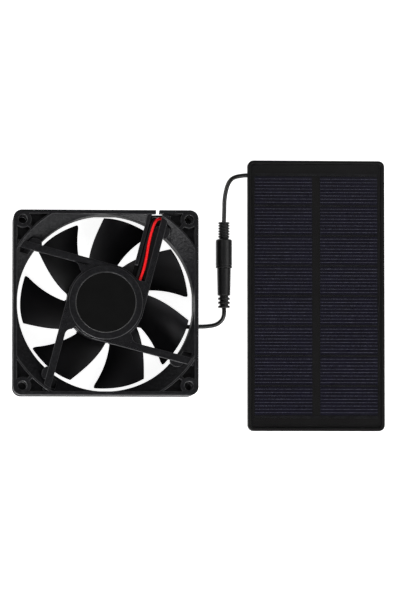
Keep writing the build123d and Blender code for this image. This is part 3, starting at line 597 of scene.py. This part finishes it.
def blade_section(span, shrink):
    """One closed loop round the blade; shrink runs from 0 to 1 over the rounded tip edge."""
    over, under = [], []
    spots = [0.5 - 0.5 * math.cos(math.pi * step / CHORD_STEPS) for step in range(CHORD_STEPS + 1)]
    for part in spots:
        tip = tip_radius(part, TIP_CHORD)
        radius = HUB_R - ROOT_SUNK + (tip - HUB_R + ROOT_SUNK) * span
        half = half_thickness(max(radius, HUB_R + 0.02), part)
        radius -= BLADE_END * (1 - math.cos(math.pi / 2 * (1 - shrink))) if span == 1 else 0
        half -= BLADE_END * (1 - math.sqrt(max(1 - shrink ** 2, 0))) if span == 1 else 0
        middle, normal, forward = camber_point(radius, part)
        if part in (spots[0], spots[-1]):
            outward = -forward if part == spots[0] else forward
            fan = [middle + normal * half * math.cos(turn) + outward * half * math.sin(turn)
                   for turn in [math.pi * step / (2 * EDGE_STEPS) for step in range(2 * EDGE_STEPS + 1)]]
            (over if part == spots[0] else under).append(fan)
        else:
            over.append(middle + normal * half)
            under.append(middle - normal * half)
    leading, trailing = over[0], under[-1]
    return leading[::-1] + over[1:] + trailing + under[:-1][::-1]


def make_impeller():
    hub = [(0, HUB_LOW), (HUB_R, HUB_LOW, 1.0), (HUB_R, HUB_HIGH, 0.25), (HUB_R - HUB_WALL, HUB_HIGH, 0.25),
           (HUB_R - HUB_WALL, HUB_LOW + HUB_WALL, 0.6), (0, HUB_LOW + HUB_WALL)]
    shape = bmesh.new()
    hub_mesh = lathe("hub", rounded(hub, 0.3), (0, 0, 0), (0, 0, 1), HUB_STEPS)
    shape.from_mesh(hub_mesh)
    bpy.data.meshes.remove(hub_mesh)
    spans = ROOT_SPANS + [0.1 + 0.9 * step / SPAN_STEPS for step in range(SPAN_STEPS)]
    sections = [blade_section(span, 0) for span in spans]
    sections += [blade_section(1, math.sin(math.pi / 2 * step / EDGE_STEPS)) for step in range(EDGE_STEPS)]
    count = len(sections[0])
    for blade in range(BLADES):
        turn = 2 * math.pi * blade / BLADES
        cos, sin = math.cos(turn), math.sin(turn)
        loops = [[shape.verts.new(Vector((p.x * cos - p.y * sin, p.x * sin + p.y * cos, p.z)) * MM)
                  for p in section] for section in sections]
        for low, high in zip(loops, loops[1:]):
            for index in range(count):
                after = (index + 1) % count
                shape.faces.new((low[index], low[after], high[after], high[index]))
        shape.faces.new(loops[0])
        shape.faces.new(loops[-1])
    return mesh_from(shape, "seven_blade_impeller")


place(make_impeller(), "seven_blade_impeller", "rotor", rotor_plastic, ("impeller",),
      IMPELLER_SHARP)


# ------------------------------------------------------------------ plug and socket
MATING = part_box("socket_body")[0].y / MM
PLUG_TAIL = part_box("plug_body")[0].y / MM
SOCKET_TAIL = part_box("socket_body")[1].y / MM
connector_axis = (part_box("plug_barrel")[0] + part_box("plug_barrel")[1]) / 2
mating_point = Vector((connector_axis.x, MATING * MM, connector_axis.z))


def ribs(start, end, count, groove_r, rib_r):
    """Alternating grooves and ribs along a strain relief."""
    pitch = (end - start) / count
    made = []
    for index in range(count):
        low = start + pitch * index
        made += [(groove_r, low + 0.02 * pitch, 0.12), (groove_r, low + 0.4 * pitch, 0.12),
                 (rib_r, low + 0.46 * pitch, 0.2), (rib_r, low + 0.97 * pitch, 0.2)]
    return made


CONNECTOR_SHARP = 50
CABLE_MOUTH = 1.25
SOCKET_R = 4.05
SOCKET_LONG = 14.3
SOCKET_BORE = 1.82
BORE_DEEP = 9.7
socket_tail = SOCKET_TAIL - MATING
SEAM_DEEP = 0.08
socket_profile = ([(0, BORE_DEEP), (SOCKET_BORE, BORE_DEEP, 0.1), (SOCKET_BORE, 0.0, 0.25),
                   (SOCKET_R, 0.0, 0.35), (SOCKET_R, 1.1, 0.1), (SOCKET_R - SEAM_DEEP, 1.2, 0.1),
                   (SOCKET_R - SEAM_DEEP, 1.5, 0.1), (SOCKET_R, 1.6, 0.1), (SOCKET_R, SOCKET_LONG, 0.7),
                   (2.55, SOCKET_LONG + 0.35, 0.3)]
                  + ribs(SOCKET_LONG + 0.5, socket_tail, 6, 2.35, 2.85)
                  + [(CABLE_MOUTH, socket_tail, 0.1), (0, socket_tail)])
socket = place(lathe("ribbed_socket", rounded(socket_profile, 0.2), mating_point, (0, 1, 0)), "ribbed_socket",
               "panel", connector_plastic, ("socket_body",), CONNECTOR_SHARP)
PLUG_R = 3.45
PLUG_LONG = 13.7
plug_tail = MATING - PLUG_TAIL
plug_profile = ([(0, 0.0), (PLUG_R - 0.05, 0.0, 0.3), (PLUG_R, 1.2, 0.3), (PLUG_R - 0.25, PLUG_LONG, 0.7),
                 (2.5, PLUG_LONG + 0.1, 0.3)]
                + ribs(PLUG_LONG + 0.2, plug_tail, 3, 2.2, 2.98)
                + [(CABLE_MOUTH, plug_tail, 0.1), (0, plug_tail)])
plug = place(lathe("ribbed_plug", rounded(plug_profile, 0.2), mating_point, (0, -1, 0)), "ribbed_plug", "fan",
             connector_plastic, ("plug_body",), CONNECTOR_SHARP)
SPLICE_EDGE = 0.35
splice = place(mesh_from(clean_solid("splice_sleeve"), "shrunk_sleeve"), "shrunk_sleeve", "fan", heat_shrink,
               ("splice_sleeve",))
soften(splice, SPLICE_EDGE, 3)


# ------------------------------------------------------------------ solar panel
ROWS = 8
FINGERS = 8
ROW_PITCH = 15.1
CELL_H = 14.4
FINGER_PITCH = 1.68
FINGER_W = 0.24
FINGER_IN = 0.1
FINGER_RISE = 0.015
FINGER_SUNK = 0.02
SLAB_CHAMFER = 0.12
TRAY_EDGE = 0.4
SHEET_EDGE = 0.12


def slab(shape, low, high):
    """Adds a thin block with a chamfered top edge. Millimetres."""
    chamfer = min(SLAB_CHAMFER, (high[2] - low[2]) * 0.6)
    rings = []
    for inset, z in ((0, low[2]), (0, high[2] - chamfer), (chamfer, high[2])):
        rings.append([shape.verts.new((x * MM, y * MM, z * MM)) for x, y in (
            (low[0] + inset, low[1] + inset), (high[0] - inset, low[1] + inset),
            (high[0] - inset, high[1] - inset), (low[0] + inset, high[1] - inset))])
    for lower, upper in zip(rings, rings[1:]):
        for index in range(4):
            after = (index + 1) % 4
            shape.faces.new((lower[index], lower[after], upper[after], upper[index]))
    shape.faces.new(rings[0][::-1])
    shape.faces.new(rings[-1])


tray = place(mesh_from(clean_solid("panel_tray"), "moulded_tray"), "moulded_tray", "panel", tray_plastic,
             ("panel_tray",))
soften(tray, TRAY_EDGE, 3)
sheet = place(mesh_from(clean_solid("front_sheet"), "clear_front"), "clear_front", "panel", clear_sheet,
              ("front_sheet",))
soften(sheet, SHEET_EDGE)

cell_shape, finger_shape = bmesh.new(), bmesh.new()
for node in ("left_solar_cells", "right_solar_cells"):
    low, high = (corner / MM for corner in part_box(node))
    for row in range(ROWS):
        cell_low = low.y + row * ROW_PITCH
        cell_high = cell_low + CELL_H
        slab(cell_shape, (low.x, cell_low, low.z), (high.x, cell_high, high.z))
        first = (cell_low + cell_high - FINGER_PITCH * (FINGERS - 1)) / 2
        for finger in range(FINGERS):
            middle = first + finger * FINGER_PITCH
            slab(finger_shape, (low.x + FINGER_IN, middle - FINGER_W / 2, high.z - FINGER_SUNK),
                 (high.x - FINGER_IN, middle + FINGER_W / 2, high.z + FINGER_RISE))
place(mesh_from(cell_shape, "cell_strips"), "cell_strips", "panel", cell_silicon,
      ("left_solar_cells", "right_solar_cells"))
place(mesh_from(finger_shape, "cell_fingers"), "cell_fingers", "panel", finger_silver, ())


# ------------------------------------------------------------------ finishes for the CAD nodes that stay
STAYING = {
    "bearing_tube": tube_brass, "sleeve_bearing": sintered_bronze, "oil_seal": seal_rubber,
    "end_washer": washer_nylon, "stator_core": core_steel, "upper_bobbin": bobbin_plastic,
    "lower_bobbin": bobbin_plastic, "stator_coils": coil_copper, "winding_pins": pin_tin,
    "motor_circuit_board": motor_board, "driver_chip": chip_epoxy, "board_capacitor": capacitor_can,
    "rotor_yoke": yoke_steel, "magnet_ring": magnet_ferrite, "rotor_shaft": shaft_steel,
    "shaft_bush": tube_brass, "retaining_clip": clip_plastic, "plug_barrel": contact_nickel,
    "plug_inner_contact": contact_nickel, "socket_pin": contact_nickel,
    "socket_sleeve_contact": contact_nickel, "plug_insulator": contact_insulator,
    "backing_board": board_laminate, "cell_ribbons": ribbon_tin, "encapsulant": clear_encapsulant,
    "blocking_diode": diode_epoxy, "solder_joints": solder, "panel_red_lead": red_insulation,
    "panel_black_lead": black_insulation, "cable_anchor": hot_glue}
for node, finish in STAYING.items():
    for holder in NODES[node].material_slots:
        holder.link = "OBJECT"
        holder.material = finish


# ------------------------------------------------------------------ floor and light
FLOOR_SIZE = 6
FLOOR_GAP = 0.0004
LOW_SIZE = (0.7, 0.35)
SIDE_SIZE = (0.8, 0.8)
TOP_SIZE = (0.5, 0.5)
# name, place from the object's middle in metres, size and power
LIGHTS = (
    ("key", (-0.5, -0.95, 0.36), LOW_SIZE, 14),
    ("low_right", (0.85, -0.8, 0.36), LOW_SIZE, 6),
    ("side_left", (-0.85, 0.5, 0.9), SIDE_SIZE, 4.4),
    ("side_right", (0.95, 0.25, 0.9), SIDE_SIZE, 4.4),
    ("front", (0.1, -0.95, 1.0), SIDE_SIZE, 5.5),
    ("overhead", (0.3, 0.45, 1.6), TOP_SIZE, 0.7))
WORLD_STRENGTH = 0.07


def area_light(name, spot, target, size, power):
    made = bpy.data.objects.new(name, bpy.data.lights.new(name, "AREA"))
    SCENE.collection.objects.link(made)
    made.data.shape = "RECTANGLE"
    made.data.size, made.data.size_y = size
    made.data.energy = power
    made.location = spot
    made.rotation_mode = "QUATERNION"
    made.rotation_quaternion = (target - spot).to_track_quat("-Z", "Y")


floor_shape = bmesh.new()
bmesh.ops.create_grid(floor_shape, x_segments=1, y_segments=1, size=FLOOR_SIZE)
floor = bpy.data.objects.new("floor", mesh_from(floor_shape, "floor"))
SCENE.collection.objects.link(floor)
floor.location.z = cad_box[0].z - FLOOR_GAP
floor_finish, floor_tree, floor_shader = new_material("pale_floor", Roughness=0.9, Emission_Strength=1.05)
floor_grain = noise(floor_tree, 0.02)
floor_tint = blend_colour(floor_tree, floor_grain, (0.86, 0.86, 0.86, 1), (0.9, 0.9, 0.9, 1))
floor_tree.links.new(floor_tint, floor_shader.inputs["Base Color"])
floor_tree.links.new(floor_tint, floor_shader.inputs["Emission Color"])
floor.data.materials.append(floor_finish)
floor.visible_diffuse = False

centre = (cad_box[0] + cad_box[1]) / 2
for name, offset, size, power in LIGHTS:
    area_light(name, centre + Vector(offset), centre, size, power)
world = bpy.data.worlds.new("studio")
world.use_nodes = True
world.node_tree.nodes["Background"].inputs["Color"].default_value = (1, 1, 1, 1)
world.node_tree.nodes["Background"].inputs["Strength"].default_value = WORLD_STRENGTH
SCENE.world = world
SCENE.view_settings.view_transform = "Standard"
